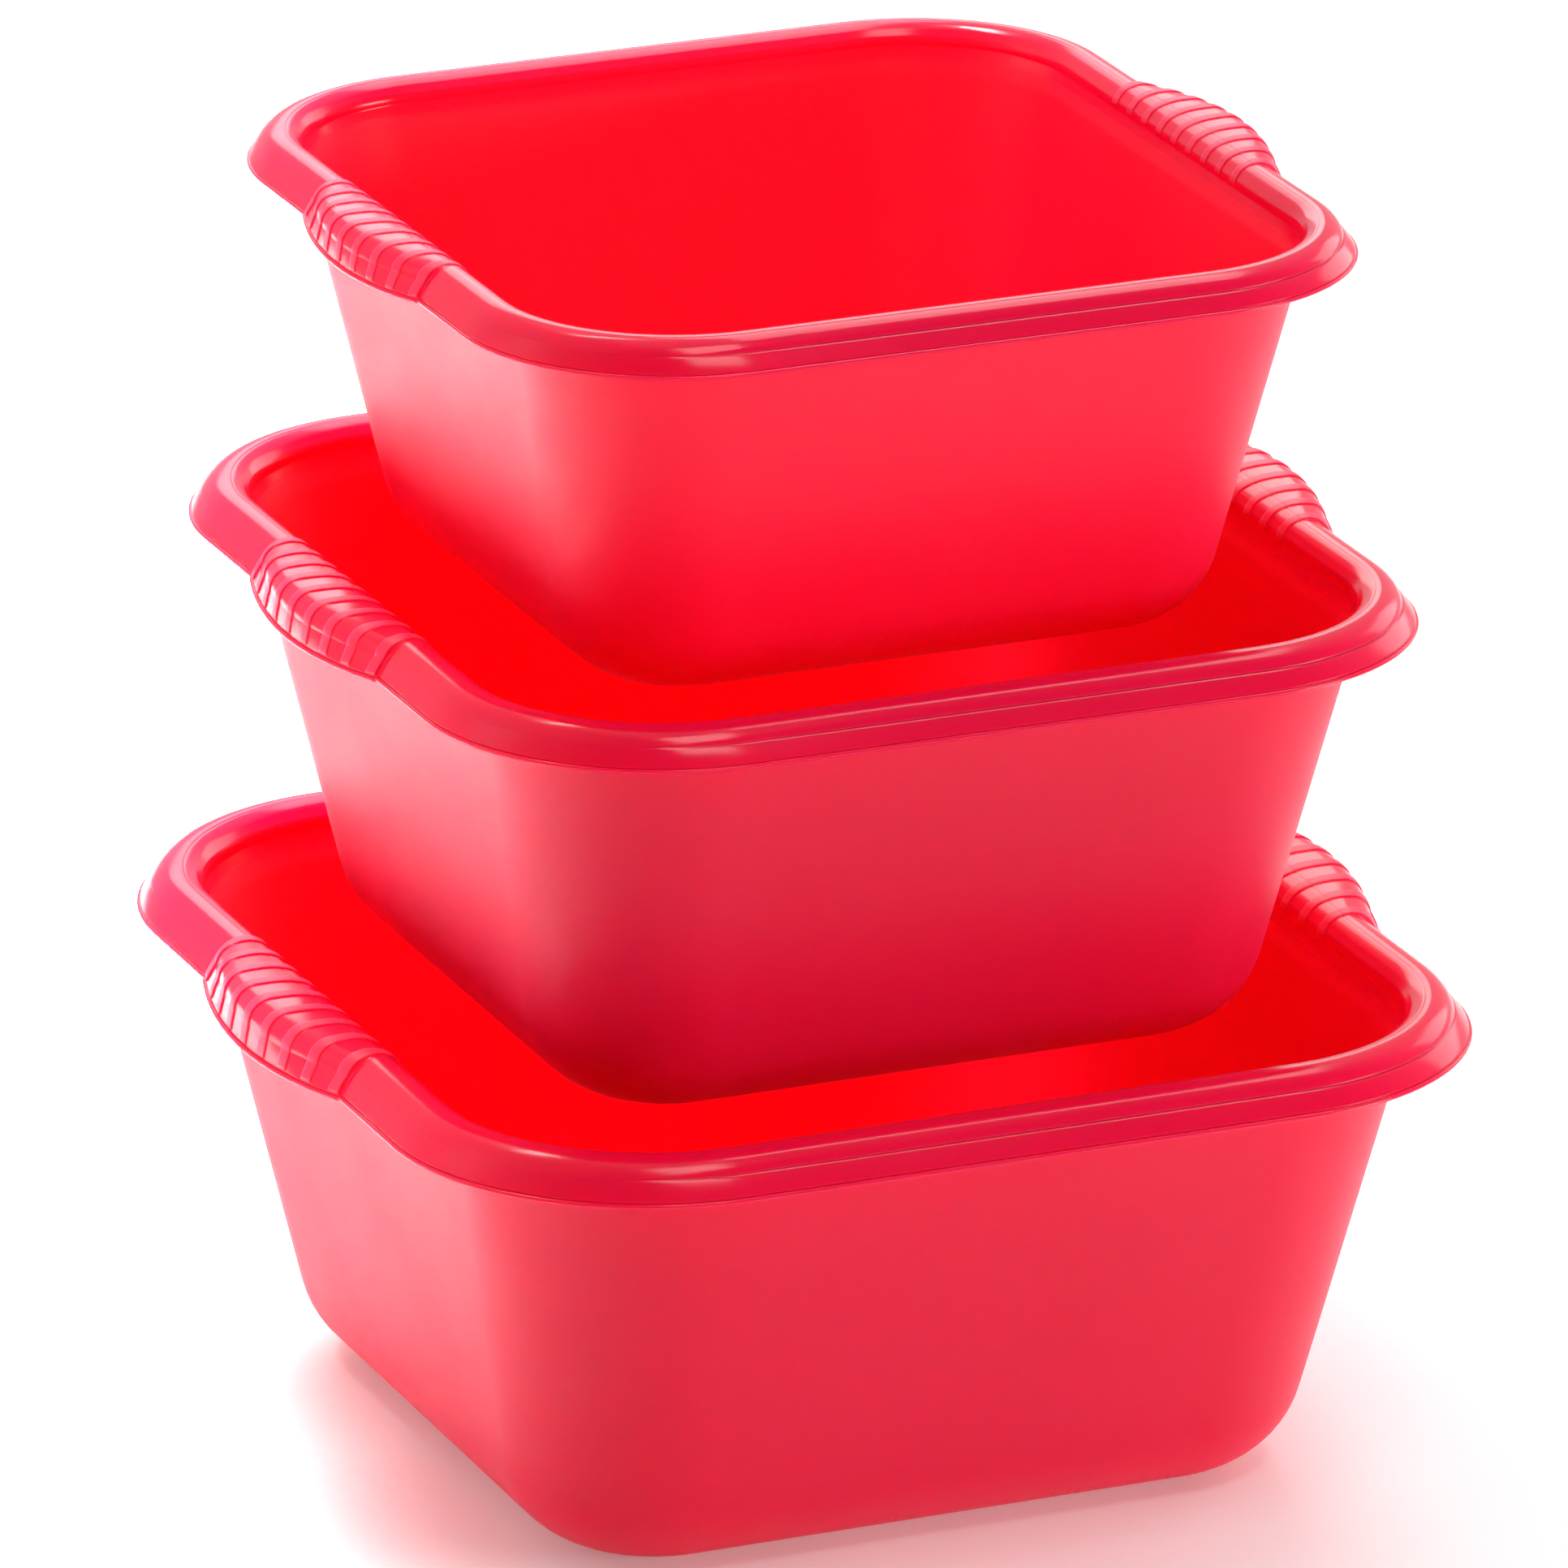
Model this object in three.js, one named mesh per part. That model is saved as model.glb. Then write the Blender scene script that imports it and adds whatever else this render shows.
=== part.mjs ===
// A set of three square nesting trays, each one injection moulding in polypropylene, with a
// rolled rim and a ribbed grip on two opposite sides.
//
// Millimetres, +Z up. The origin is the middle of the large tray's underside. The grips are on
// the two X sides. The trays stand one above the other, each upper tray lifted so far out of the
// lower one that only its foot is still inside the mouth.

import * as THREE from 'three';

// ---- Driving dimensions -----------------------------------------------------------------------

// Every shape below is given for the small tray. The others have the same shape at a larger
// nominal width, but the same moulded thickness.
const NOMINAL_WIDTH = 311;
const TRAYS = [
  { name: 'large_tray', width: 380, color: '#ee1230' },
  { name: 'middle_tray', width: 347, color: '#f01433' },
  { name: 'small_tray', width: 311, color: '#f21636' },
];
const WALL = 2;
const FOOT_IN_MOUTH = 15; // how far an upper tray's foot reaches below the crest of the lower rim

// The rim line is the middle of the roll, seen from above.
const RIM = { halfX: 135, halfY: 144, corner: 58.5 };
const ROLL = { height: 125.3, radius: 6.8 };
const ROLL_INNER_END = 182; // degrees round the roll, from straight out through straight up
const CREASE = 25; // degrees round the roll where the skirt leaves it

// Offsets outward from the rim line, and heights above the underside.
const SKIRT_END = { out: 10.2, z: 122.9 };
const LIP = { out: 11, top: 122.6, bottom: 121.3 };
const THROAT = { out: -9.7, z: 117.3 }; // where the inner wall turns into the chamfer under the roll
const WALL_TOP = { out: -6.9, z: 117 }; // top of the body's outer face, inside the rim's hollow

// The foot is a square with rounded corners, and a fillet runs round it up to the wall.
const FOOT = { half: 110.4, corner: 42.1, fillet: 28.7 };
const DRAFT = 14; // degrees from upright where the fillet meets the wall

// The grip is a stretch of rim that widens outward along an arc and carries the ribs.
const GRIP = {
  halfLength: 50,
  widen: 8.4, // at the lip, in the middle of the grip
  shoulder: { out: 11.3, z: 127.1, radius: 6.3 },
  drop: 1.4, // how much lower the lip is in the middle of the grip
};
const RIB = { count: 9, pitch: 11.34, width: 3.8, height: 0.9, ramp: 0.5 };
const RIB_INNER_END = 168; // degrees round the roll
const RIB_END_RAMP = 5; // degrees over which a rib rises at that end

// How finely the round stretches are divided.
const CORNER_STEPS = 6;
const GRIP_STEPS = 10;
const FILLET_STEPS = 3;

// ---- Stations: places round a ring ------------------------------------------------------------

const radians = THREE.MathUtils.degToRad;

// Each station has a place u that grows round the ring, from 0 in the middle of the +X side to
// LAP in the same place again, so that rings with different stations can be joined.
const LAP = 10;
const SIDE_SPAN = 0.9;

function cornerStations(index, uStart) {
  return Array.from({ length: CORNER_STEPS + 1 }, (_, i) => {
    const share = i / CORNER_STEPS;
    return { u: uStart + share, corner: index, angle: radians(90 * (index + share)) };
  });
}

// marks is a list of { along, raised } from -halfLength to +halfLength along the side.
function sideStations(side, uMiddle, marks) {
  const stations = marks.map(({ along, raised }) => ({
    u: uMiddle + (SIDE_SPAN * side * along) / GRIP.halfLength,
    side,
    along,
    raised,
  }));
  return side > 0 ? stations : stations.reverse();
}

function ringStations(marks) {
  return [
    ...sideStations(1, 0, marks),
    ...cornerStations(0, 1),
    ...cornerStations(1, 3),
    ...sideStations(-1, 5, marks),
    ...cornerStations(2, 6),
    ...cornerStations(3, 8),
  ];
}

function gripMarks() {
  return Array.from({ length: GRIP_STEPS + 1 }, (_, i) => ({
    along: GRIP.halfLength * ((2 * i) / GRIP_STEPS - 1),
    raised: 0,
  }));
}

function ribMarks() {
  const marks = [{ along: -GRIP.halfLength, raised: 0 }];
  for (let i = 0; i < RIB.count; i += 1) {
    const middle = (i - (RIB.count - 1) / 2) * RIB.pitch;
    const foot = RIB.width / 2;
    const top = foot - RIB.ramp;
    marks.push({ along: middle - foot, raised: 0 }, { along: middle - top, raised: 1 });
    marks.push({ along: middle + top, raised: 1 }, { along: middle + foot, raised: 0 });
  }
  marks.push({ along: GRIP.halfLength, raised: 0 });
  return marks;
}

const PLAIN = ringStations([]);
const GRIPPED = ringStations(gripMarks());
const RIBBED = ringStations(ribMarks());

// 1 in the middle of the grip, falling to 0 at its ends along an arc.
const gripShare = (along) => Math.max(0, 1 - (along / GRIP.halfLength) ** 2);

// ---- Rings: one turn round the tray at one point of its section -------------------------------

// A ring on the rim has the same offset from the rim line all round, except in the grip.
function rimRing(out, z, { grip = { out, z }, stations = PLAIN, ribFacing = null } = {}) {
  return {
    halfX: RIM.halfX + out,
    halfY: RIM.halfY + out,
    corner: RIM.corner + out,
    z,
    widen: grip.out - out,
    rise: grip.z - z,
    stations,
    ribFacing,
  };
}

// A ring on the fillet round the foot, at an angle from straight down. The skin is the distance
// in from the outer face.
function footRing(angle, skin) {
  const reach = (FOOT.fillet - skin) * Math.sin(radians(angle)) - FOOT.fillet;
  return {
    halfX: FOOT.half + reach,
    halfY: FOOT.half + reach,
    corner: FOOT.corner + reach,
    z: FOOT.fillet - (FOOT.fillet - skin) * Math.cos(radians(angle)),
    widen: 0,
    rise: 0,
    stations: PLAIN,
    ribFacing: null,
  };
}

const onRoll = (angle, radius) => [
  radius * Math.cos(radians(angle)),
  ROLL.height + radius * Math.sin(radians(angle)),
];

const onShoulder = (angle, radius) => ({
  out: GRIP.shoulder.out + radius * Math.cos(radians(angle)),
  z: GRIP.shoulder.z + radius * Math.sin(radians(angle)),
});

const atLip = (out, z) => ({ out: out + GRIP.widen, z: z - GRIP.drop });

// From the middle of the floor, up the inside, over the rim, down the outside to the underside.
function sectionRings(skin) {
  const filletAngles = Array.from(
    { length: FILLET_STEPS + 1 },
    (_, i) => ((90 - DRAFT) * i) / FILLET_STEPS,
  );
  const over = ROLL.radius;
  const under = ROLL.radius - skin;
  const shoulder = GRIP.shoulder.radius;
  const bend = GRIP.shoulder.radius - skin;
  const ribbed = (angle, grip, ribFacing = angle) =>
    rimRing(...onRoll(angle, over), { grip, stations: RIBBED, ribFacing });
  const hollow = (angle, grip) =>
    rimRing(...onRoll(angle, under), { grip, stations: GRIPPED });
  const crest = { out: GRIP.shoulder.out / 3, z: ROLL.height + over };

  return [
    ...filletAngles.map((angle) => footRing(angle, skin)),
    rimRing(THROAT.out, THROAT.z),
    rimRing(...onRoll(ROLL_INNER_END, over)),
    rimRing(...onRoll(RIB_INNER_END + RIB_END_RAMP, over), { stations: GRIPPED }),
    ribbed(RIB_INNER_END, undefined),
    ribbed(142, undefined),
    ribbed(116, undefined),
    ribbed(90, crest),
    ribbed(60, onShoulder(90, shoulder), 90),
    ribbed(40, onShoulder(45, shoulder), 45),
    ribbed(CREASE, onShoulder(0, shoulder), 0),
    rimRing(SKIRT_END.out, SKIRT_END.z, {
      grip: atLip(SKIRT_END.out, SKIRT_END.z),
      stations: RIBBED,
      ribFacing: 0,
    }),
    rimRing(LIP.out, LIP.top, { grip: atLip(LIP.out, LIP.top), stations: GRIPPED }),
    rimRing(LIP.out, LIP.bottom, { grip: atLip(LIP.out, LIP.bottom), stations: GRIPPED }),
    rimRing(SKIRT_END.out - skin, LIP.bottom, {
      grip: atLip(SKIRT_END.out - skin, LIP.bottom),
      stations: GRIPPED,
    }),
    hollow(CREASE, onShoulder(0, bend)),
    hollow(60, onShoulder(90, bend)),
    hollow(120, undefined),
    rimRing(...onRoll(180, under)),
    rimRing(WALL_TOP.out, WALL_TOP.z),
    ...filletAngles.reverse().map((angle) => footRing(angle, 0)),
  ];
}

function pointOn(ring, station) {
  if (station.side) {
    const share = gripShare(station.along);
    const lift = ring.ribFacing === null ? 0 : RIB.height * station.raised;
    const facing = radians(ring.ribFacing ?? 0);
    return [
      station.side * (ring.halfX + ring.widen * share + lift * Math.cos(facing)),
      station.along,
      ring.z + ring.rise * share + lift * Math.sin(facing),
    ];
  }
  const signX = station.corner === 0 || station.corner === 3 ? 1 : -1;
  const signY = station.corner < 2 ? 1 : -1;
  return [
    signX * (ring.halfX - ring.corner) + ring.corner * Math.cos(station.angle),
    signY * (ring.halfY - ring.corner) + ring.corner * Math.sin(station.angle),
    ring.z,
  ];
}

// ---- One tray ---------------------------------------------------------------------------------

// Joins two neighbouring rings by triangles, moving on along whichever ring is behind.
function joinRings(first, second, triangles) {
  let i = 0;
  let j = 0;
  const place = (ring, k) =>
    ring.stations[k % ring.stations.length].u + (k >= ring.stations.length ? LAP : 0);
  const index = (ring, k) => ring.start + (k % ring.stations.length);
  while (i < first.stations.length || j < second.stations.length) {
    const moveFirst =
      j === second.stations.length ||
      (i < first.stations.length && place(first, i + 1) <= place(second, j + 1));
    const next = moveFirst ? index(first, i + 1) : index(second, j + 1);
    triangles.push(index(first, i), index(second, j), next);
    if (moveFirst) i += 1;
    else j += 1;
  }
}

function closeRing(ring, middle, facingUp, triangles) {
  const count = ring.stations.length;
  for (let k = 0; k < count; k += 1) {
    const here = ring.start + k;
    const next = ring.start + ((k + 1) % count);
    triangles.push(middle, facingUp ? here : next, facingUp ? next : here);
  }
}

function trayGeometry(scale) {
  const rings = sectionRings(WALL / scale);
  const positions = [];
  const triangles = [];
  for (const ring of rings) {
    ring.start = positions.length / 3;
    for (const station of ring.stations) positions.push(...pointOn(ring, station));
  }
  const floorMiddle = positions.length / 3;
  positions.push(0, 0, WALL / scale, 0, 0, 0);
  closeRing(rings[0], floorMiddle, true, triangles);
  for (let k = 1; k < rings.length; k += 1) joinRings(rings[k - 1], rings[k], triangles);
  closeRing(rings[rings.length - 1], floorMiddle + 1, false, triangles);

  const geometry = new THREE.BufferGeometry();
  geometry.setAttribute('position', new THREE.Float32BufferAttribute(positions, 3));
  geometry.setIndex(triangles);
  geometry.scale(scale, scale, scale);
  geometry.computeVertexNormals();
  return geometry;
}

function makeTray({ name, width, color }, standsAt) {
  const material = new THREE.MeshStandardMaterial({ color, roughness: 0.32, metalness: 0 });
  const tray = new THREE.Mesh(trayGeometry(width / NOMINAL_WIDTH), material);
  tray.name = name;
  tray.position.z = standsAt;
  return tray;
}

// ---- The set ----------------------------------------------------------------------------------

const crestHeight = (width) => ((ROLL.height + ROLL.radius) * width) / NOMINAL_WIDTH;

const traySet = new THREE.Group();
let standsAt = 0;
for (const tray of TRAYS) {
  traySet.add(makeTray(tray, standsAt));
  standsAt += crestHeight(tray.width) - FOOT_IN_MOUTH;
}

export default traySet;
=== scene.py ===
"""Three square nesting trays in red polypropylene, on a pale floor under soft studio light."""

import math

import bpy
import numpy as np
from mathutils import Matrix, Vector


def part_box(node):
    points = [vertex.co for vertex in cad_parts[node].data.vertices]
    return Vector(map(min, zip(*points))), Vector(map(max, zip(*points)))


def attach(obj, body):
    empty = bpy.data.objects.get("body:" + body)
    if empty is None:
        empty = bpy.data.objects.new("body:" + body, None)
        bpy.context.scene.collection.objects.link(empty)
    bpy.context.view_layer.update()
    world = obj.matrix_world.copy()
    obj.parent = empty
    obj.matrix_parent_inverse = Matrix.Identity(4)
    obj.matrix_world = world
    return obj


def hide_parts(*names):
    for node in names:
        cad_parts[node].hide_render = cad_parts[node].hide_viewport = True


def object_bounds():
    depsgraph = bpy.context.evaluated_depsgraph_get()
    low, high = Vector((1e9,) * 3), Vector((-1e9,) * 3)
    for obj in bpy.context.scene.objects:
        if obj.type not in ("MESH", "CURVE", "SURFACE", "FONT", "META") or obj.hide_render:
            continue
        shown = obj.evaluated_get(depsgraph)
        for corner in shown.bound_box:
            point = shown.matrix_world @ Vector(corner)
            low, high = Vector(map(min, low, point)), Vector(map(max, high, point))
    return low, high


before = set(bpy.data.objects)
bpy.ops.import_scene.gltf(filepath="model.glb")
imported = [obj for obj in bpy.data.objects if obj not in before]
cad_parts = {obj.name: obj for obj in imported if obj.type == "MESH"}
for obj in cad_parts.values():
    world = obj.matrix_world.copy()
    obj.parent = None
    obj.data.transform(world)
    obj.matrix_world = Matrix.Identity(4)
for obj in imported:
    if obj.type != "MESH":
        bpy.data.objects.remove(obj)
cad_low, cad_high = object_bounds()

# ---- Shape of one tray ------------------------------------------------------------------------
# Millimetres of the small tray, inside the CAD's outline, with finer relief on the rim. The other
# trays are the same shape at a larger nominal width, with the same moulded thickness.

NOMINAL_WIDTH = 311.0
TRAYS = (
    # piece, CAD node, body, slot, nominal width, grain seed
    ("large_tray_shell", "large_tray", "large", "large_tray_plastic", 380.0, 3.0),
    ("middle_tray_shell", "middle_tray", "middle", "middle_tray_plastic", 347.0, 11.0),
    ("small_tray_shell", "small_tray", "small", "small_tray_plastic", 311.0, 29.0),
)
WALL = 2.0
RIM_X, RIM_Y, RIM_CORNER = 135.0, 144.0, 58.5
FOOT_HALF, FOOT_CORNER, FOOT_FILLET = 110.4, 42.1, 28.7
DRAFT = 14.0

# Round the roll, in degrees from straight out. Points are (out from the rim's line, height).
ROLL_Z, ROLL_RADIUS = 125.3, 6.8
ROLL_INNER_END = 182.0
ROLL_STEP = 4.0
FACET = (154.0, 134.0)
CREST_LINE, LINE_DEPTH, LINE_REACH = 102.0, 0.15, 2.2
CREASE, CREASE_DEPTH = 18.0, 0.3
CREASE_FADE = (20.0, 100.0)
PLAIN_START, PLAIN_END_SLOPE = 62.0, -62.0
SKIRT_CROWN = 0.12
SKIRT_OUTWARD = np.array([0.77, 0.77, 0.77, 0.64, 0, 0])
SKIRT_END = (10.1, 123.0)
LIP_GROOVE = (9.98, 122.55)
BEAD, BEAD_RADIUS = (10.35, 121.95), 0.65
LIP_EDGE_OUT, LIP_EDGE_Z = 10.2, 121.3
THROAT = (-9.7, 117.3)
WALL_TOP = (-6.9, 117.0)

# The grip widens outward along an arc, over a broad shoulder, and carries the ribs.
GRIP_HALF = 50.0
GRIP_WIDEN, GRIP_DROP = 8.4, 1.4
GRIP_TOP = (116.0, 60.0)
SHOULDER_OUT, SHOULDER_Z, SHOULDER_RADIUS = 11.3, 127.1, 6.3
RIB_COUNT, RIB_PITCH, RIB_HALF, RIB_HEIGHT = 9, 11.34, 2.1, 0.42
RIB_INNER_END, RIB_END_RAMP = 169.0, 5.0
# Strength of the painted shade along each rib's steps.
RIB_STEP_SHADE = 0.9
GRIP_END = (RIB_COUNT - 1) / 2 * RIB_PITCH + RIB_HALF
SIDE_REACH = GRIP_END + 12.0

# Mesh resolution.
CORNER_STEPS = 24
FLOOR_SHARES = (0.3, 0.6, 0.85)
SIDE_GAPS = (0.02, 0.25, 0.5, 0.75, 0.98)

# Zones that the material reads.
INSIDE, RIM, OUTSIDE = 0.0, 0.5, 1.0


def knot(half_x, half_y, corner, z, widen=0.0, rise=0.0):
    return np.array([half_x, half_y, corner, z, widen, rise], float)


def on_rim(out, z, grip=None):
    grip_out, grip_z = grip or (out, z)
    return knot(RIM_X + out, RIM_Y + out, RIM_CORNER + out, z, grip_out - out, grip_z - z)


def on_foot(angle, skin):
    turn = math.radians(angle)
    reach = (FOOT_FILLET - skin) * math.sin(turn) - FOOT_FILLET
    z = FOOT_FILLET - (FOOT_FILLET - skin) * math.cos(turn)
    return knot(FOOT_HALF + reach, FOOT_HALF + reach, FOOT_CORNER + reach, z)


def roll_point(angle, radius):
    turn = math.radians(angle)
    return radius * math.cos(turn), ROLL_Z + radius * math.sin(turn)


def shoulder_point(angle, radius):
    turn = math.radians(angle)
    return SHOULDER_OUT + radius * math.cos(turn), SHOULDER_Z + radius * math.sin(turn)


def grip_point(angle, inset=0.0):
    """The section in the middle of the grip: the roll's inner half, a broad top, and a shoulder."""
    start, top = GRIP_TOP
    if angle >= start:
        return roll_point(angle, ROLL_RADIUS - inset)
    if angle <= top:
        return shoulder_point(90 * (angle - CREASE) / (top - CREASE), SHOULDER_RADIUS - inset)
    t = (start - angle) / (start - top)
    a = np.array(roll_point(start, ROLL_RADIUS - inset))
    b = np.array(shoulder_point(90, SHOULDER_RADIUS - inset))
    reach = np.linalg.norm(b - a)
    turn = math.radians(start)
    da = np.array([math.sin(turn), -math.cos(turn)]) * reach
    db = np.array([1.0, 0.0]) * reach
    p = (2 * t**3 - 3 * t**2 + 1) * a + (t**3 - 2 * t**2 + t) * da
    p += (3 * t**2 - 2 * t**3) * b + (t**3 - t**2) * db
    return float(p[0]), float(p[1])


def lip(out, z):
    return on_rim(out, z, (out + GRIP_WIDEN, z - GRIP_DROP))


def plain_offset(travel):
    """The plain D-shaped rim's (out, up) from the creased one, this far past PLAIN_START."""
    arc = ROLL_RADIUS * math.radians(PLAIN_START - CREASE)
    crease = np.array(roll_point(CREASE, ROLL_RADIUS))
    skirt = np.array(SKIRT_END) - crease
    length = np.linalg.norm(skirt)
    if travel < arc:
        here = np.array(roll_point(PLAIN_START - math.degrees(travel / ROLL_RADIUS), ROLL_RADIUS))
    else:
        here = crease + skirt * (travel - arc) / length
    t = travel / (arc + length)
    start, end = np.array(roll_point(PLAIN_START, ROLL_RADIUS)), np.array(SKIRT_END)
    reach = arc + length
    plain = (2 * t**3 - 3 * t**2 + 1) * start + (3 * t**2 - 2 * t**3) * end
    for slope, weight in ((PLAIN_START - 90, t**3 - 2 * t**2 + t), (PLAIN_END_SLOPE, t**3 - t**2)):
        turn = math.radians(slope)
        plain += weight * reach * np.array([math.cos(turn), math.sin(turn)])
    return tuple(plain - here)


def between(a, b, count):
    return [a + (b - a) * k / (count + 1) for k in range(1, count + 1)]


def section(skin):
    """Rows of (knot, rounding, zone, rib, plain, groove_shade) from the floor's middle to the
    underside's.

    A row's plain is its offset, outward and up, where the rim is a plain roll without the crease,
    and its groove_shade is how much it lies at the bottom of a fine groove: this presses the crease
    in, and paints shade into the groove's colour.
    """
    rows = []

    def add(points, zone, rounding=0.0, rib=0.0, plain=(0.0, 0.0), groove_shade=0.0):
        for p in points:
            rows.append((p, rounding, zone, rib, plain, groove_shade))

    def roll_row(angle, inset=0.0):
        out, z = roll_point(angle, ROLL_RADIUS - inset)
        return on_rim(out, z, grip_point(angle, inset))

    def crowned(start, end, share):
        lift = SKIRT_CROWN * 4 * share * (1 - share)
        return start + (end - start) * share + lift * SKIRT_OUTWARD

    degree = ROLL_RADIUS * math.radians(1)
    floor = on_foot(0, skin)
    add([floor * [share, share, share, 1, 1, 1] for share in FLOOR_SHARES], INSIDE)
    fillet = np.linspace(0, 90 - DRAFT, 13)
    add([on_foot(a, skin) for a in fillet], INSIDE)
    throat = on_rim(*THROAT)
    add(between(on_foot(fillet[-1], skin), throat, 7), INSIDE)
    add([throat], INSIDE, rounding=1.0)
    add([on_rim(*roll_point(ROLL_INNER_END, ROLL_RADIUS))], RIM, rounding=0.5)
    for angle in np.arange(ROLL_INNER_END - ROLL_STEP, FACET[0], -ROLL_STEP):
        share = min(max((RIB_INNER_END + RIB_END_RAMP - angle) / RIB_END_RAMP, 0.0), 1.0)
        add([roll_row(angle)], RIM, rib=share * share * (3 - 2 * share))
    facet_ends = [roll_row(angle) for angle in FACET]
    add(facet_ends[:1], RIM, rounding=0.3, rib=1.0)
    add(between(*facet_ends, 2), RIM, rib=1.0)
    add(facet_ends[1:], RIM, rounding=0.3, rib=1.0)
    for angle in np.arange(FACET[1] - ROLL_STEP, CREASE + 2, -ROLL_STEP):
        plain = plain_offset(max(PLAIN_START - angle, 0) * degree)
        # At the crest line the roll dips into a fine groove, with painted shade in its bottom.
        if angle == CREST_LINE:
            add([roll_row(angle + LINE_REACH)], RIM, rib=1.0)
            add([roll_row(angle, LINE_DEPTH)], RIM, rib=1.0, groove_shade=0.5)
            add([roll_row(angle - LINE_REACH)], RIM, rib=1.0)
        else:
            add([roll_row(angle)], RIM, rib=1.0, plain=plain)
    skirt_end = lip(*SKIRT_END)
    arc = (PLAIN_START - CREASE) * degree
    add([roll_row(CREASE + 2)], RIM, rib=1.0, plain=plain_offset(arc - 2 * degree))
    # The crease carries painted shade in its bottom.
    add([roll_row(CREASE)], RIM, rounding=0.15, rib=1.0, plain=plain_offset(arc), groove_shade=1.0)
    reach = math.dist(roll_point(CREASE, ROLL_RADIUS), SKIRT_END)
    for share in (0.05, 0.15, 0.3, 0.45, 0.6, 0.75, 0.9):
        plain = np.array(plain_offset(arc + reach * share))
        plain -= SKIRT_CROWN * 4 * share * (1 - share) * SKIRT_OUTWARD[[0, 3]]
        add([crowned(roll_row(CREASE), skirt_end, share)], RIM, rib=1.0, plain=tuple(plain))
    add([skirt_end], RIM, rounding=0.12)
    # The groove above the bead carries painted shade.
    add([lip(*LIP_GROOVE)], RIM, rounding=0.12, groove_shade=1.0)
    for angle in (85, 60, 35, 10, -15, -45, -75):
        turn = math.radians(angle)
        out, z = BEAD[0] + BEAD_RADIUS * math.cos(turn), BEAD[1] + BEAD_RADIUS * math.sin(turn)
        add([lip(out, z)], RIM)
    add([lip(LIP_EDGE_OUT - skin, LIP_EDGE_Z)], RIM, rounding=0.25)
    inner = ROLL_RADIUS - skin
    for angle in np.arange(25.0, 178.0, 9.0):
        add([on_rim(*roll_point(angle, inner), grip_point(angle, skin))], OUTSIDE)
    add([on_rim(*roll_point(180, inner))], OUTSIDE)
    wall_top = on_rim(*WALL_TOP)
    add([wall_top], OUTSIDE, rounding=1.0)
    add(between(wall_top, on_foot(90 - DRAFT, 0), 9), OUTSIDE)
    add([on_foot(a, 0) for a in fillet[::-1]], OUTSIDE)
    under = on_foot(0, 0)
    add([under * [share, share, share, 1, 1, 1] for share in FLOOR_SHARES[::-1]], OUTSIDE)
    return rows


def rounded(rows, steps=4):
    """The rows with each marked corner rounded over its distance along the section."""
    out = []
    for k, (p, rounding, *marks) in enumerate(rows):
        if not rounding:
            out.append((p, *marks))
            continue
        ends = []
        for q, *_ in (rows[k - 1], rows[k + 1]):
            length = math.hypot(q[0] - p[0], q[3] - p[3])
            ends.append(p + (q - p) * min(rounding / length, 0.49))
        for t in np.linspace(0, 1, steps):
            point = (1 - t) ** 2 * ends[0] + 2 * t * (1 - t) * p + t * t * ends[1]
            out.append((point, *marks))
    return out


RIB_STEP = ((1.0, 0.0), (0.96, 0.05), (0.92, 0.5), (0.88, 0.95), (0.82, 1.0), (0.4, 1.0))
RIB_PROFILE = [(-a * RIB_HALF, r) for a, r in RIB_STEP] + [(0.0, 1.0)]
RIB_PROFILE += [(a * RIB_HALF, r) for a, r in reversed(RIB_STEP)]


def side_marks():
    """Places along a grip side as (along, rib share, grip share)."""
    marks = []
    for i in range(RIB_COUNT):
        middle = (i - (RIB_COUNT - 1) / 2) * RIB_PITCH
        marks += [(middle + off, share) for off, share in RIB_PROFILE]
        if i < RIB_COUNT - 1:
            gap = RIB_PITCH - 2 * RIB_HALF
            marks += [(middle + RIB_HALF + gap * share, 0.0) for share in SIDE_GAPS]
    marks = [(a, r, 1 - (a / GRIP_HALF) ** 2) for a, r in marks]
    for side in (-1, 1):
        for beyond, share in ((0.3, 0.012), (0.7, 0.0), (2.0, 0.0), (5.0, 0.0), (12.0, 0.0)):
            marks.append((side * (GRIP_END + beyond), 0.0, share))
    return sorted(marks)


def stations():
    """Round a ring from the middle of the +X side: (kind, sign or corner, place, rib, grip)."""
    marks = side_marks()
    corners = [[("corner", c, (c + k / CORNER_STEPS) * math.pi / 2, 0, 0)
                for k in range(CORNER_STEPS + 1)] for c in range(4)]
    plus = [("side", 1, a, r, g) for a, r, g in marks]
    minus = [("side", -1, a, r, g) for a, r, g in reversed(marks)]
    back = [("back", 1, x, 0, 0) for x in (0.66, 0.33, 0.0, -0.33, -0.66)]
    front = [("back", -1, x, 0, 0) for x in (-0.66, -0.33, 0.0, 0.33, 0.66)]
    return plus + corners[0] + back + corners[1] + minus + corners[2] + front + corners[3]


def ring_points(p, places):
    half_x, half_y, corner, z, widen, rise = p
    points = []
    for kind, which, place, _, grip in places:
        if kind == "side":
            room = (half_y - corner) * 0.96
            along = place * min(1, room / SIDE_REACH)
            points.append((which * (half_x + widen * grip), along, z + rise * grip))
        elif kind == "back":
            points.append(((half_x - corner) * place, which * half_y, z))
        else:
            sx = 1 if which in (0, 3) else -1
            sy = 1 if which < 2 else -1
            points.append((sx * (half_x - corner) + corner * math.cos(place),
                           sy * (half_y - corner) + corner * math.sin(place), z))
    return points


def surface_normal(grid):
    """Outward unit normals of a grid with rows down the section and places round the ring."""
    down = np.gradient(grid, axis=0)
    along = np.roll(grid, -1, axis=1) - np.roll(grid, 1, axis=1)
    normal = np.cross(down, along)
    return normal / np.maximum(np.linalg.norm(normal, axis=2, keepdims=True), 1e-9)


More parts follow.
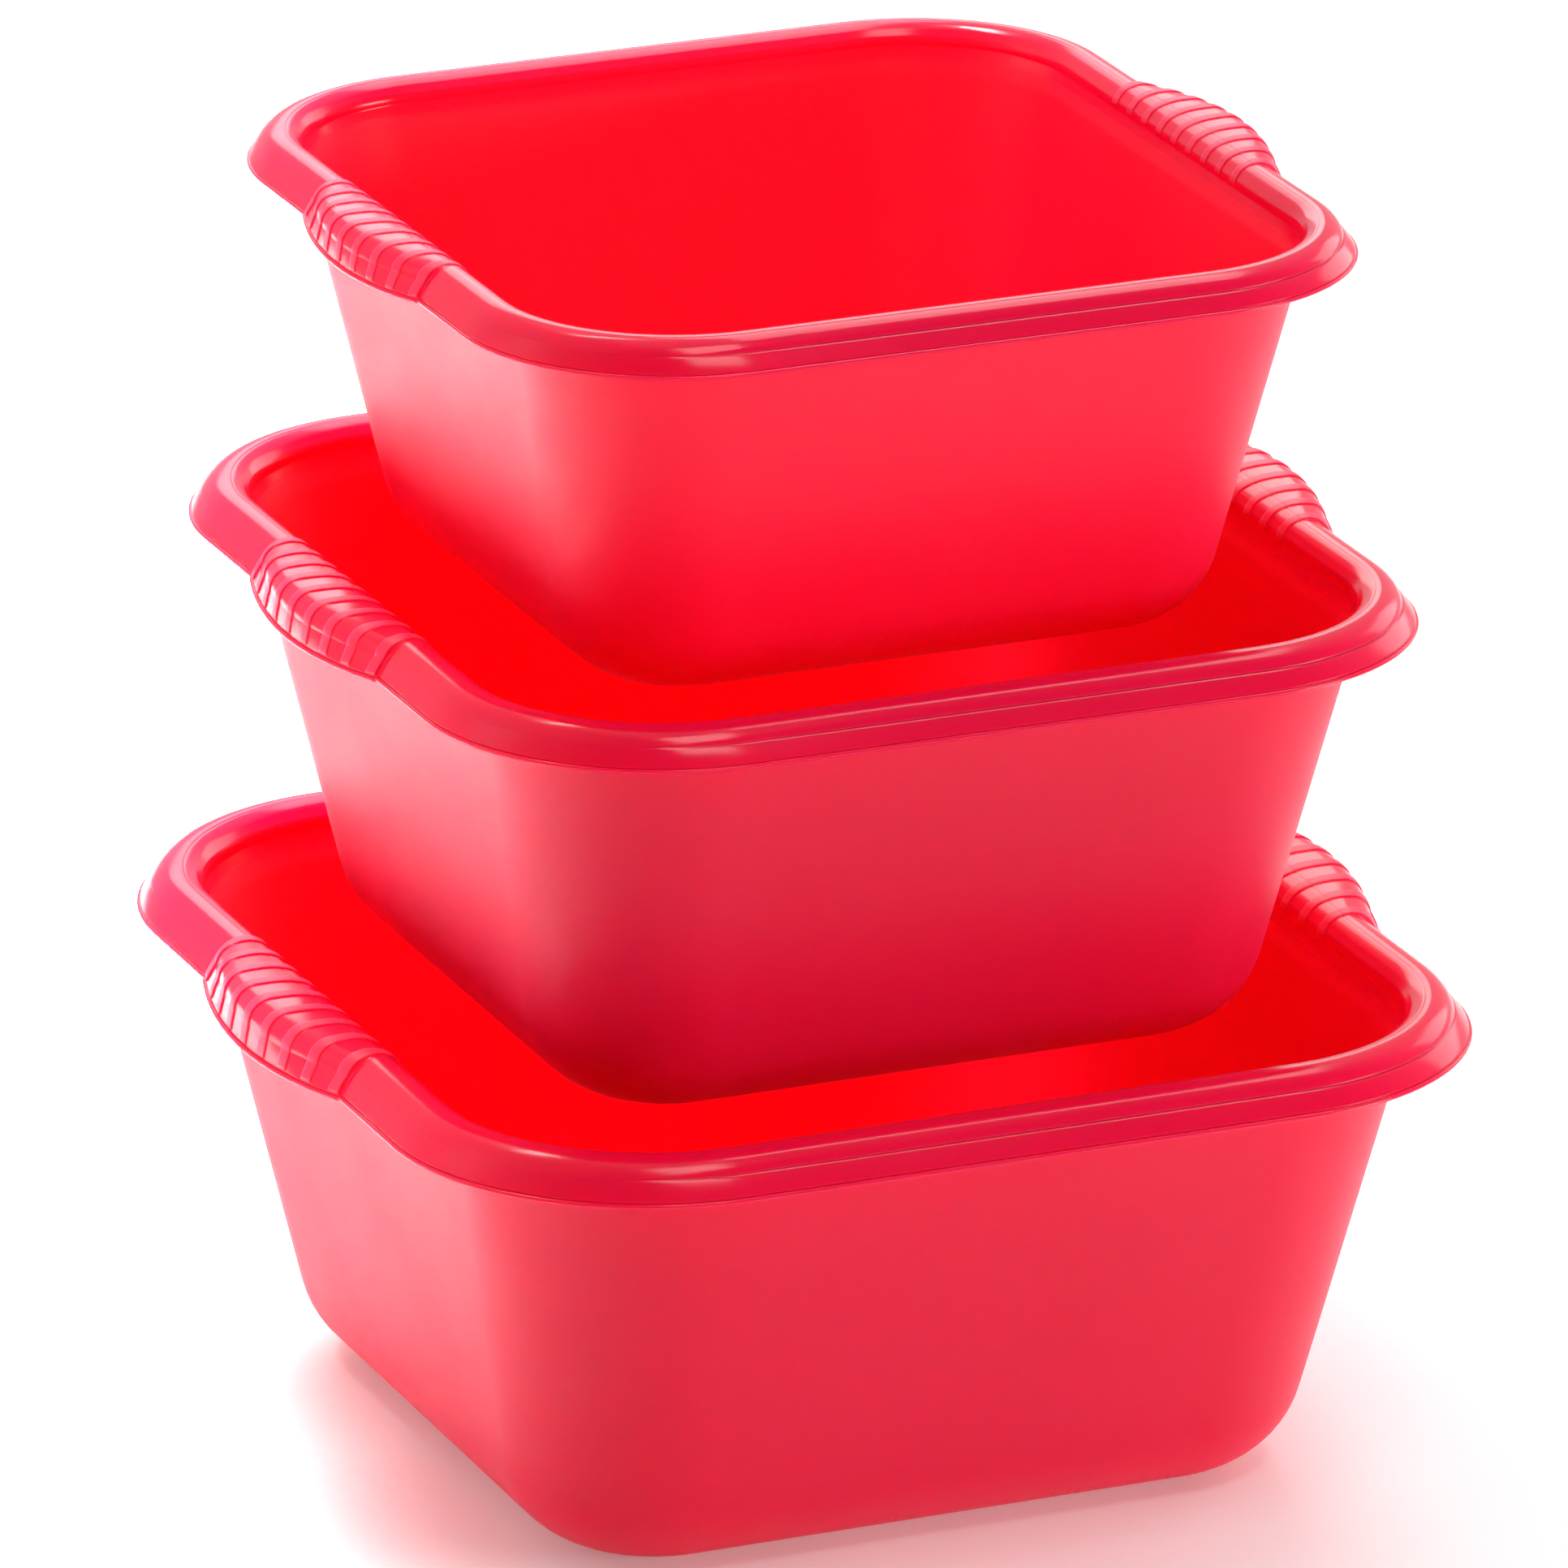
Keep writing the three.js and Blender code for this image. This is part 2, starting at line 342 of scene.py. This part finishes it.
def ring_outward(grid):
    """Level unit vectors out of the ring at each place."""
    along = np.roll(grid, -1, axis=1) - np.roll(grid, 1, axis=1)
    out = np.stack([along[..., 1], -along[..., 0], np.zeros(along.shape[:2])], axis=-1)
    return out / np.maximum(np.linalg.norm(out, axis=2, keepdims=True), 1e-9)


def tray_mesh(name, scale):
    rows = rounded(section(WALL / scale))
    places = stations()
    knots, zone, rib_share, plain, groove_shade_share = zip(*rows)
    grid = np.array([ring_points(p, places) for p in knots])
    rib = np.outer(rib_share, [s[3] for s in places])
    grip = np.array([s[4] for s in places])

    # The crease runs round the front and the right, and the rim is a plain roll elsewhere.
    toward_front_right = grid[..., 0] - grid[..., 1]
    start, full = CREASE_FADE
    sharp = np.clip((toward_front_right - start) / (full - start), 0, 1)
    sharp = sharp * sharp * (3 - 2 * sharp)
    shift = (1 - sharp) * (1 - np.minimum(grip * 4, 1))
    out, up = np.array(plain).T[..., None, None]
    grid = grid + (ring_outward(grid) * out + up * [0, 0, 1]) * shift[..., None]
    creased = np.any(np.array(plain) != 0, axis=1)[:, None]
    # Painted shade in the crease fades out with the crease, and the same share presses the crease
    # in.
    groove_shade = np.array(groove_shade_share)[:, None] * np.where(creased, sharp, 1.0)
    grid = grid - ring_outward(grid) * (groove_shade * creased * CREASE_DEPTH)[..., None]
    # Painted shade along each rib's steps, darkest halfway up each step.
    groove_shade = np.maximum(groove_shade, RIB_STEP_SHADE * rib * (1 - rib))

    # The ribs stand up along the surface's own normal, square to the grip's length.
    ribs_up = surface_normal(grid) * [1, 0, 1]
    ribs_up /= np.maximum(np.linalg.norm(ribs_up, axis=2, keepdims=True), 1e-9)
    grid = grid + ribs_up * (rib * RIB_HEIGHT)[..., None]

    count, turn = grid.shape[:2]
    points = grid.reshape(-1, 3) * scale / 1000
    middles = [[0, 0, rows[0][0][3] * scale / 1000], [0, 0, 0]]
    points = np.vstack([points, middles])
    faces = []
    for r in range(count - 1):
        for s in range(turn):
            t = (s + 1) % turn
            faces.append((r * turn + s, (r + 1) * turn + s, (r + 1) * turn + t, r * turn + t))
    last = (count - 1) * turn
    for s in range(turn):
        t = (s + 1) % turn
        faces.append((count * turn, s, t))
        faces.append((count * turn + 1, last + t, last + s))
    mesh = bpy.data.meshes.new(name)
    mesh.from_pydata(points.tolist(), [], faces)
    mesh.validate()
    for label, values, ends in (
        ("zone", np.repeat(zone, turn), (INSIDE, OUTSIDE)),
        ("rib", rib.ravel(), (0, 0)),
        ("groove_shade", groove_shade.ravel(), (0, 0)),
    ):
        layer = mesh.attributes.new(label, "FLOAT", "POINT")
        layer.data.foreach_set("value", np.append(values, ends).astype(np.float32))
    mesh.shade_smooth()
    return mesh


# ---- Plastic ----------------------------------------------------------------------------------

REDS = ((0.84, 0.0015, 0.045, 1), (0.88, 0.0025, 0.052, 1))
# Darker, bluer red for the rim: painted shade, as the thick roll lets less light through than the
# thin walls.
RIM_SHADE_RED = (0.68, 0.004, 0.058, 1)
# Paler red for the rib lands: painted sheen, for the light the textured lands scatter.
RIB_SHEEN_RED = (0.88, 0.05, 0.13, 1)
# Dark red for fine grooves, the crease and the rib steps: painted shade.
GROOVE_SHADE_RED = (0.30, 0.002, 0.03, 1)
SCUFF_RED = (0.90, 0.16, 0.20, 1)


def plastic(name, seed):
    material = bpy.data.materials.new(name)
    material.use_nodes = True
    nodes, links = material.node_tree.nodes, material.node_tree.links
    nodes.clear()

    def node(kind, **values):
        made = nodes.new(kind)
        for key, value in values.items():
            if hasattr(made, key):
                setattr(made, key, value)
            else:
                made.inputs[key].default_value = value
        return made

    def math_node(operation, a, b):
        made = nodes.new("ShaderNodeMath")
        made.operation = operation
        for socket, value in zip(made.inputs, (a, b)):
            if isinstance(value, (int, float)):
                socket.default_value = value
            else:
                links.new(value, socket)
        return made.outputs[0]

    def ramp(value, low, high, to_low, to_high):
        made = nodes.new("ShaderNodeMapRange")
        made.interpolation_type = "SMOOTHSTEP"
        links.new(value, made.inputs["Value"])
        limits = {"From Min": low, "From Max": high, "To Min": to_low, "To Max": to_high}
        for key, limit in limits.items():
            made.inputs[key].default_value = limit
        return made.outputs["Result"]

    def blend(colour, other, factor):
        made = nodes.new("ShaderNodeMix")
        made.data_type = "RGBA"
        links.new(colour, made.inputs["A"])
        made.inputs["B"].default_value = other
        links.new(factor, made.inputs["Factor"])
        return made.outputs["Result"]

    def noise(scale, detail=2.0, roughness=0.5):
        made = node("ShaderNodeTexNoise", Scale=scale, Detail=detail, Roughness=roughness)
        links.new(place, made.inputs["Vector"])
        return made.outputs["Fac"]

    def streaks(degrees, across, along):
        """Long fine streaks that run level at this angle to the Y axis."""
        turned = node("ShaderNodeVectorRotate", rotation_type="Z_AXIS", Angle=math.radians(degrees))
        links.new(place, turned.inputs["Vector"])
        stretched = node("ShaderNodeVectorMath", operation="MULTIPLY")
        links.new(turned.outputs[0], stretched.inputs[0])
        stretched.inputs[1].default_value = (across, along, along)
        made = node("ShaderNodeTexNoise", Scale=1.0, Detail=2.0, Distortion=0.6)
        links.new(stretched.outputs[0], made.inputs["Vector"])
        return ramp(made.outputs["Fac"], 0.60, 0.68, 0.0, 1.0)

    coordinates = node("ShaderNodeTexCoord").outputs["Object"]
    shift = node("ShaderNodeVectorMath", operation="ADD")
    links.new(coordinates, shift.inputs[0])
    shift.inputs[1].default_value = (seed, seed * 0.7, seed * 0.3)
    place = shift.outputs[0]

    zone = node("ShaderNodeAttribute", attribute_name="zone").outputs["Fac"]
    rib = node("ShaderNodeAttribute", attribute_name="rib").outputs["Fac"]
    groove_shade = node("ShaderNodeAttribute", attribute_name="groove_shade").outputs["Fac"]
    outside = ramp(zone, 0.55, 0.95, 0.0, 1.0)
    inside = ramp(zone, 0.05, 0.45, 1.0, 0.0)

    # Fine scuffs where a tray slides on a bench, and across the floor inside.
    height = node("ShaderNodeSeparateXYZ")
    links.new(coordinates, height.inputs[0])
    low_down = ramp(height.outputs["Z"], 0.003, 0.022, 1.0, 0.0)
    worn = math_node("MULTIPLY", low_down, ramp(noise(24, 3), 0.42, 0.6, 0.15, 1.0))
    scratches = math_node("MAXIMUM", streaks(12, 900, 22), streaks(-58, 760, 26))
    scuffs = math_node("MULTIPLY", worn, scratches)

    shader = node("ShaderNodeBsdfPrincipled")
    shader.inputs["IOR"].default_value = 1.49
    shader.inputs["Specular IOR Level"].default_value = 0.35
    shader.inputs["Subsurface Weight"].default_value = 1.0
    shader.inputs["Subsurface Radius"].default_value = (1.0, 0.1, 0.25)
    shader.inputs["Subsurface Scale"].default_value = 0.012

    tint = nodes.new("ShaderNodeMix")
    tint.data_type = "RGBA"
    tint.inputs["A"].default_value, tint.inputs["B"].default_value = REDS
    links.new(ramp(noise(9, 3), 0.35, 0.65, 0.0, 1.0), tint.inputs["Factor"])
    on_rim_only = math_node("SUBTRACT", math_node("SUBTRACT", 1.0, outside), inside)
    # Painted shade: the rim takes a darker, bluer red.
    rim_shaded = blend(tint.outputs["Result"], RIM_SHADE_RED, on_rim_only)
    # Painted sheen: the rib lands take a paler red.
    land_sheen = blend(rim_shaded, RIB_SHEEN_RED, math_node("MULTIPLY", rib, 0.6))
    # Painted shade: dark red down fine grooves, the crease and the rib steps.
    groove_shaded = blend(land_sheen, GROOVE_SHADE_RED, math_node("MULTIPLY", groove_shade, 0.85))
    scuffed = blend(groove_shaded, SCUFF_RED, math_node("MULTIPLY", scuffs, 0.2))
    links.new(scuffed, shader.inputs["Base Color"])

    gloss = math_node("ADD", 0.16, math_node("MULTIPLY", outside, 0.26))
    gloss = math_node("ADD", gloss, math_node("MULTIPLY", inside, 0.3))
    gloss = math_node("ADD", gloss, math_node("MULTIPLY", rib, 0.2))
    gloss = math_node("ADD", gloss, math_node("MULTIPLY", scuffs, 0.2))
    gloss = math_node("ADD", gloss, ramp(noise(14, 4, 0.6), 0.3, 0.7, -0.02, 0.03))
    links.new(gloss, shader.inputs["Roughness"])

    grain = noise(1600, 1.5, 0.6)
    bump = node("ShaderNodeBump")
    bump.inputs["Distance"].default_value = 0.00006
    links.new(grain, bump.inputs["Height"])
    links.new(math_node("ADD", 0.04, math_node("MULTIPLY", outside, 0.5)), bump.inputs["Strength"])
    links.new(bump.outputs["Normal"], shader.inputs["Normal"])

    out = node("ShaderNodeOutputMaterial")
    links.new(shader.outputs["BSDF"], out.inputs["Surface"])
    return material


for piece, cad_node, body, slot_name, width, seed in TRAYS:
    tray = bpy.data.objects.new(piece, tray_mesh(piece, width / NOMINAL_WIDTH))
    bpy.context.scene.collection.objects.link(tray)
    tray.location.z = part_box(cad_node)[0].z
    tray.data.materials.append(plastic(piece + "_plastic", seed))
    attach(tray, body)
    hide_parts(cad_node)

# ---- Floor, light and camera ------------------------------------------------------------------


def floor_material():
    material = bpy.data.materials.new("pale_floor")
    material.use_nodes = True
    shader = material.node_tree.nodes["Principled BSDF"]
    shader.inputs["Base Color"].default_value = (0.95, 0.95, 0.95, 1)
    shader.inputs["Roughness"].default_value = 0.6
    shader.inputs["Emission Color"].default_value = (1, 1, 1, 1)
    shader.inputs["Emission Strength"].default_value = 0.16
    return material


FLOOR_REACH = 60.0
floor_mesh = bpy.data.meshes.new("floor")
floor_signs = ((-1, -1), (1, -1), (1, 1), (-1, 1))
floor_corners = [(x * FLOOR_REACH, y * FLOOR_REACH, 0) for x, y in floor_signs]
floor_mesh.from_pydata(floor_corners, [], [(0, 1, 2, 3)])
floor_mesh.materials.append(floor_material())
floor = bpy.data.objects.new("floor", floor_mesh)
bpy.context.scene.collection.objects.link(floor)

middle = (cad_low + cad_high) / 2


def bearing(azimuth, elevation):
    a, e = math.radians(azimuth), math.radians(elevation)
    return Vector((math.sin(a) * math.cos(e), -math.cos(a) * math.cos(e), math.sin(e)))


def soft_box(name, place, size, power, aim=middle, spread=180):
    light = bpy.data.lights.new(name, "AREA")
    light.spread = math.radians(spread)
    light.shape = "RECTANGLE"
    light.size, light.size_y = size
    light.energy = power
    made = bpy.data.objects.new(name, light)
    made.location = place
    made.rotation_mode = "QUATERNION"
    made.rotation_quaternion = (Vector(aim) - Vector(place)).to_track_quat("-Z", "Y")
    made.visible_camera = False
    bpy.context.scene.collection.objects.link(made)


def toward(azimuth, elevation, distance):
    """A place round the object, with azimuth 0 in front and 90 on the right."""
    return middle + distance * bearing(azimuth, elevation)


soft_box("key_light", toward(6, 62, 3.0), (1.1, 1.2), 22)
soft_box("top_light", (0.0, 0.9, 2.8), (1.2, 3.0), 4, aim=(0.0, 0.9, 0))
soft_box("crest_light", (1.05, 0.9, 2.7), (0.8, 2.5), 26, aim=(1.05, 0.9, 0))
soft_box("edge_light", toward(165, 26, 3.0), (1.6, 1.0), 12)
soft_box("left_light", toward(-110, 28, 2.6), (1.0, 1.2), 1.5)
soft_box("right_light", toward(112, 16, 3.0), (1.6, 1.2), 12)
soft_box("fill_light", toward(47, 3, 4.0), (1.6, 0.8), 80)
soft_box("floor_light", (-0.6, 1.1, 1.5), (1.2, 1.4), 100, aim=(-0.6, 1.1, 0), spread=60)

# The room is bright behind the object and dim in front of it.
world = bpy.data.worlds.new("studio")
world.use_nodes = True
tree = world.node_tree
background = tree.nodes["Background"]
background.inputs["Color"].default_value = (1, 1, 1, 1)
direction = tree.nodes.new("ShaderNodeTexCoord")
split = tree.nodes.new("ShaderNodeSeparateXYZ")
fade = tree.nodes.new("ShaderNodeMapRange")
fade.interpolation_type = "SMOOTHSTEP"
for label, value in (("From Min", -0.6), ("From Max", 0.5), ("To Min", 0.08), ("To Max", 0.7)):
    fade.inputs[label].default_value = value
tree.links.new(direction.outputs["Generated"], split.inputs[0])
tree.links.new(split.outputs["Y"], fade.inputs["Value"])
tree.links.new(fade.outputs["Result"], background.inputs["Strength"])
bpy.context.scene.world = world
bpy.context.scene.view_settings.view_transform = "Standard"

CAMERA_AZIMUTH, CAMERA_ELEVATION, CAMERA_DISTANCE = -22.7, 19.42, 4.95
AIM_HEIGHT, AIM_LEFT, AIM_UP = 0.2012, 0.0041, 0.00735
back = bearing(CAMERA_AZIMUTH, CAMERA_ELEVATION)
right = Vector((math.cos(math.radians(CAMERA_AZIMUTH)), math.sin(math.radians(CAMERA_AZIMUTH)), 0))
up = back.cross(right)
camera = bpy.data.objects.new("camera", bpy.data.cameras.new("camera"))
camera.data.sensor_width = 36
camera.data.lens = 360
camera.data.clip_end = 200
camera.rotation_mode = "QUATERNION"
camera.rotation_quaternion = (-back).to_track_quat("-Z", "Y")
aim = Vector((0, 0, AIM_HEIGHT)) - right * AIM_LEFT + up * AIM_UP
camera.location = aim + back * CAMERA_DISTANCE
bpy.context.scene.collection.objects.link(camera)
bpy.context.scene.camera = camera
